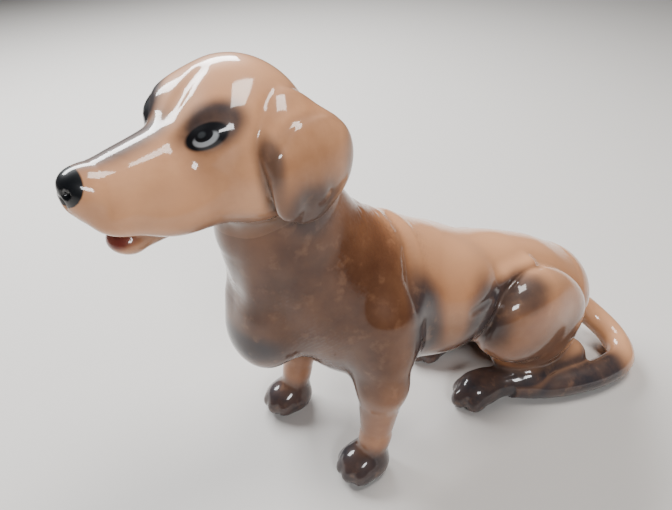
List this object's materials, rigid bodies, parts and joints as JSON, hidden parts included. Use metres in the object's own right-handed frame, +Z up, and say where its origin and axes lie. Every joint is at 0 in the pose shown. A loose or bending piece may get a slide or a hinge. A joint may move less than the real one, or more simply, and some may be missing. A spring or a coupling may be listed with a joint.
{
  "type": "ceramic dog figurine",
  "caption": "Seated short-legged hound figurine in glazed ceramic, hollow cast body, hanging ears and a tail curled round to its left.",
  "frame": {"origin": "middle of the footprint's bounding box, on the plane the paws stand on", "axes": "the dog faces -Y, +X is its left side, +Z is up; the length from nose to tail lies along Y"},
  "size_m": [0.0574, 0.173, 0.1214],
  "materials": {
    "body_glaze": "clear gloss glaze over airbrushed tan, brown and charcoal",
    "head_glaze": "clear gloss glaze over airbrushed tan with black nose and painted eyes",
    "mouth_glaze": "clear gloss glaze over dark red and brown"
  },
  "bodies": {
    "root": {"torso": "body_glaze", "head": "head_glaze", "lower_jaw": "mouth_glaze", "left_ear": "head_glaze", "right_ear": "head_glaze", "left_foreleg": "body_glaze", "right_foreleg": "body_glaze", "left_thigh": "body_glaze", "right_thigh": "body_glaze", "left_hind_foot": "body_glaze", "right_hind_foot": "body_glaze", "tail": "body_glaze"}
  },
  "joints": []
}
